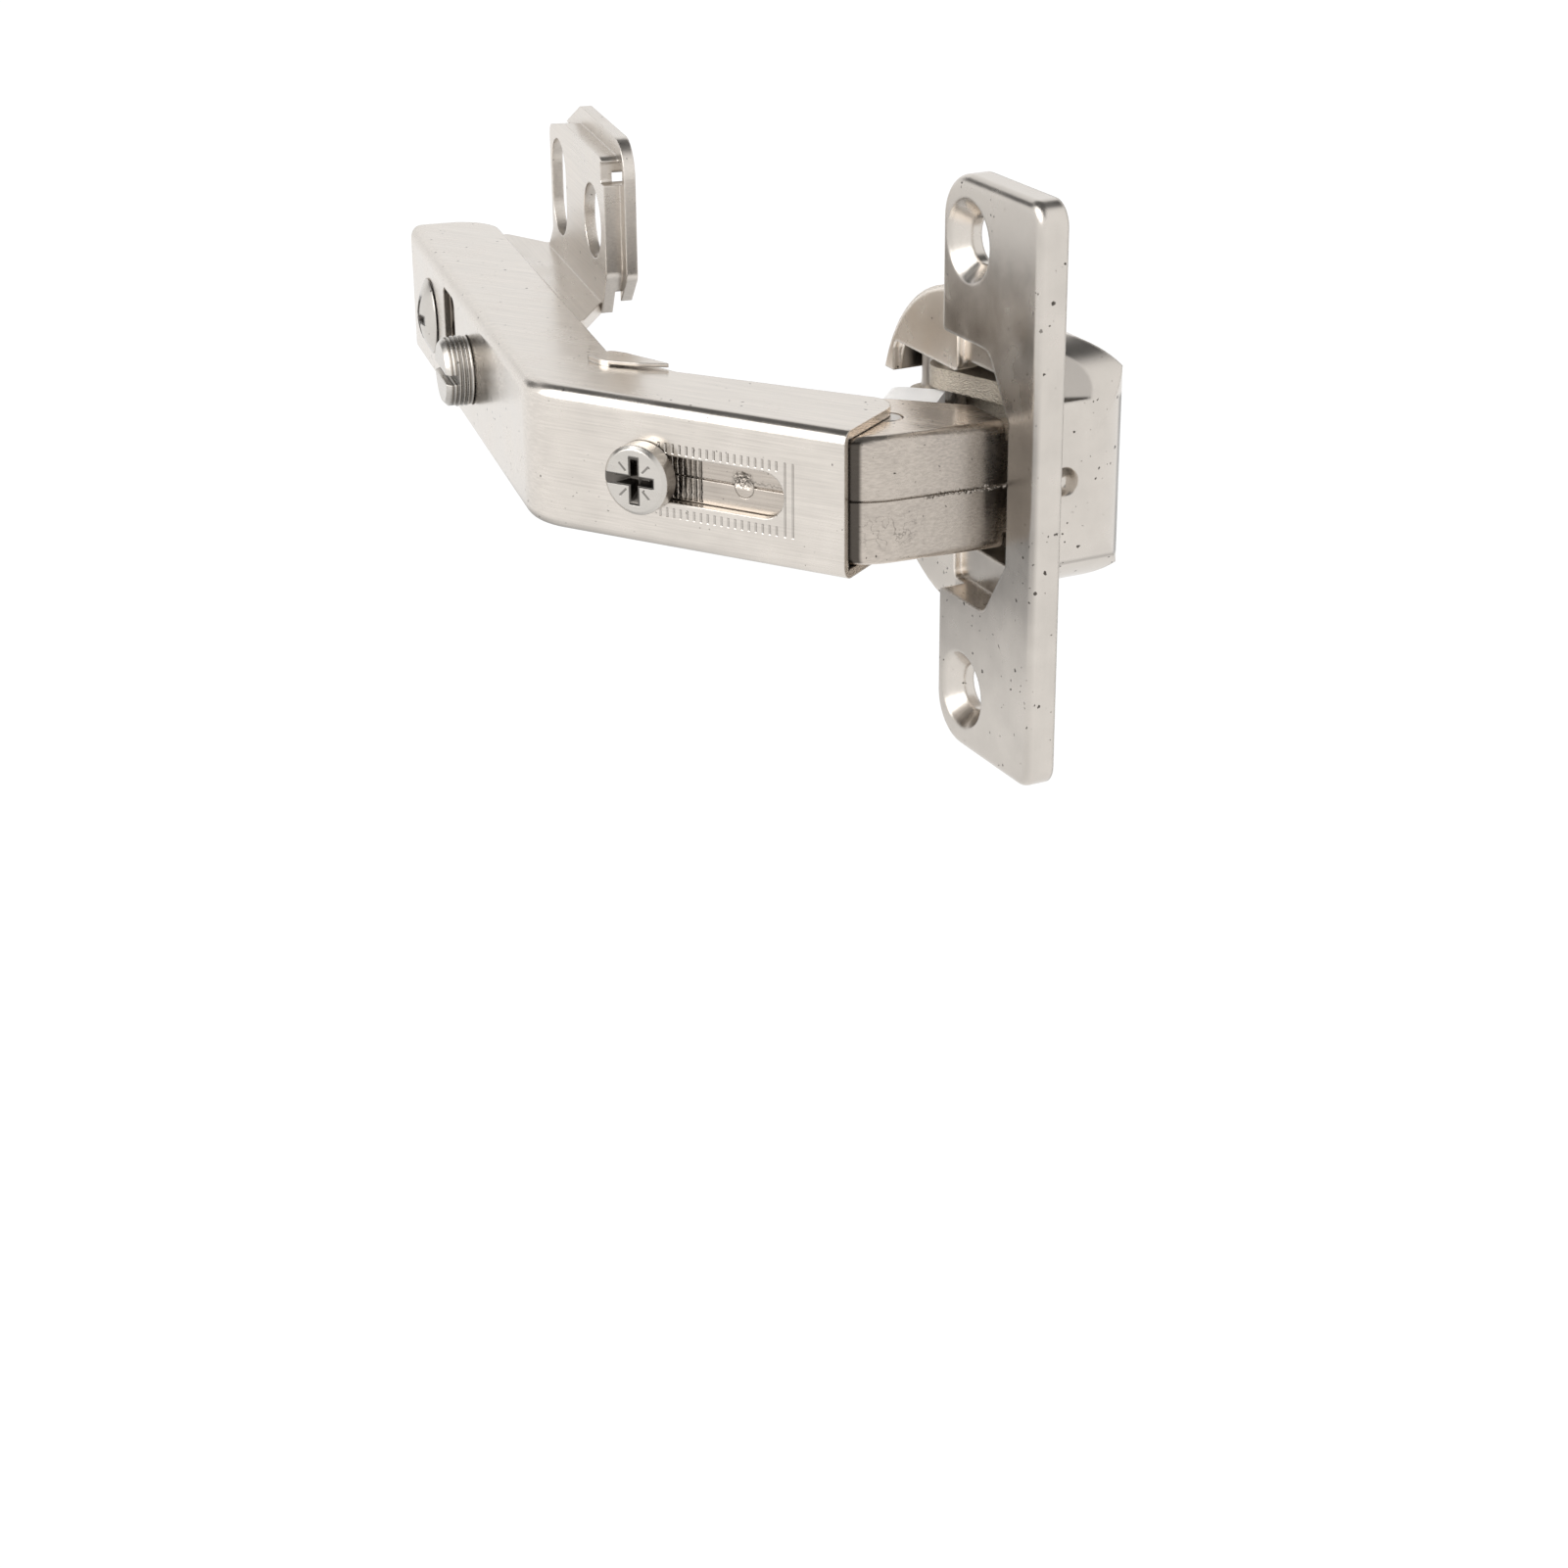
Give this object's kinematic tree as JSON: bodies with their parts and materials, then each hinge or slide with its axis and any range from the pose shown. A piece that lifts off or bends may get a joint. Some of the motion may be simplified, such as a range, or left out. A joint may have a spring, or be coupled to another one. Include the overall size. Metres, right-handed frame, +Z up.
{
  "type": "corner cabinet hinge",
  "caption": "Concealed cup hinge with a cranked arm and a winged mounting plate, for a door that folds over a blind corner.",
  "frame": {"origin": "centre of the cup at the door's face", "axes": "+X along the cup into the door, +Y across the door towards its hinged edge, +Z up along the pins"},
  "size_m": [0.0519, 0.1091, 0.061],
  "materials": {
    "cast_nickel": "nickel plated die casting",
    "folded_nickel": "nickel plated folded sheet",
    "sheared_nickel": "nickel plated sheet with sheared edges",
    "pin_steel": "plain steel pin",
    "screw_nickel": "nickel plated screw",
    "spring_steel": "hardened strip",
    "white_nylon": "moulded nylon"
  },
  "bodies": {
    "plate": {"mounting_plate": "folded_nickel", "fixing_nut": "screw_nickel"},
    "fixing_screw": {"fixing_screw": "screw_nickel"},
    "side_screw": {"side_screw": "screw_nickel"},
    "arm": {"cranked_arm": "folded_nickel"},
    "slide": {"inner_arm": "folded_nickel", "clamp_nut": "screw_nickel", "outer_link_arm_pin": "pin_steel", "inner_link_arm_pin": "pin_steel", "closing_spring": "spring_steel", "spring_rivet": "pin_steel"},
    "clamp_screw": {"clamp_screw": "screw_nickel"},
    "outer_link": {"outer_link": "sheared_nickel"},
    "cup": {"hinge_cup": "cast_nickel", "outer_link_cup_pin": "pin_steel", "inner_link_cup_pin": "pin_steel"},
    "inner_link": {"inner_link": "sheared_nickel", "link_slider": "white_nylon"}
  },
  "joints": [
    {"name": "arm_tilt", "type": "hinge", "parent": "plate", "child": "arm", "pos_m": [-0.02889, 0.07597, 0], "axis": [0, 0, 1], "range_deg": [-1.2, 1.2]},
    {"name": "side_screw_turn", "type": "hinge", "parent": "plate", "child": "side_screw", "pos_m": [-0.03414, 0.05254, 0], "axis": [-0.9833, 0.1822, 0], "range_deg": [-181, 181]},
    {"name": "fixing_screw_turn", "type": "hinge", "parent": "plate", "child": "fixing_screw", "pos_m": [-0.02977, 0.07614, 0], "axis": [-0.9833, 0.1822, 0], "continuous": true},
    {"name": "arm_slide", "type": "slide", "parent": "arm", "child": "slide", "axis": [0.5664, -0.8241, 0], "range_m": [0, 0.013]},
    {"name": "clamp_screw_turn", "type": "hinge", "parent": "slide", "child": "clamp_screw", "pos_m": [-0.03223, 0.00856, 0], "axis": [-0.8241, -0.5664, 0], "continuous": true},
    {"name": "outer_link_turn", "type": "hinge", "parent": "slide", "child": "outer_link", "pos_m": [0.0063, -0.0084, 0], "axis": [0, 0, 1], "range_deg": [-30.29, 0]},
    {"name": "cup_turn", "type": "hinge", "parent": "outer_link", "child": "cup", "pos_m": [0.0029, 0.0067, 0], "axis": [0, 0, 1], "range_deg": [0, 122.29]},
    {"name": "inner_link_turn", "type": "hinge", "parent": "cup", "child": "inner_link", "pos_m": [0.0028, 0.0109, 0], "axis": [0, 0, 1], "range_deg": [-109.04, 0]}
  ],
  "couplings": [
    {"joint": "outer_link_turn", "follows": "cup_turn", "ratio": -0.24768},
    {"joint": "inner_link_turn", "follows": "cup_turn", "ratio": -0.89165},
    {"joint": "side_screw_turn", "follows": "arm_tilt", "ratio": 150}
  ]
}
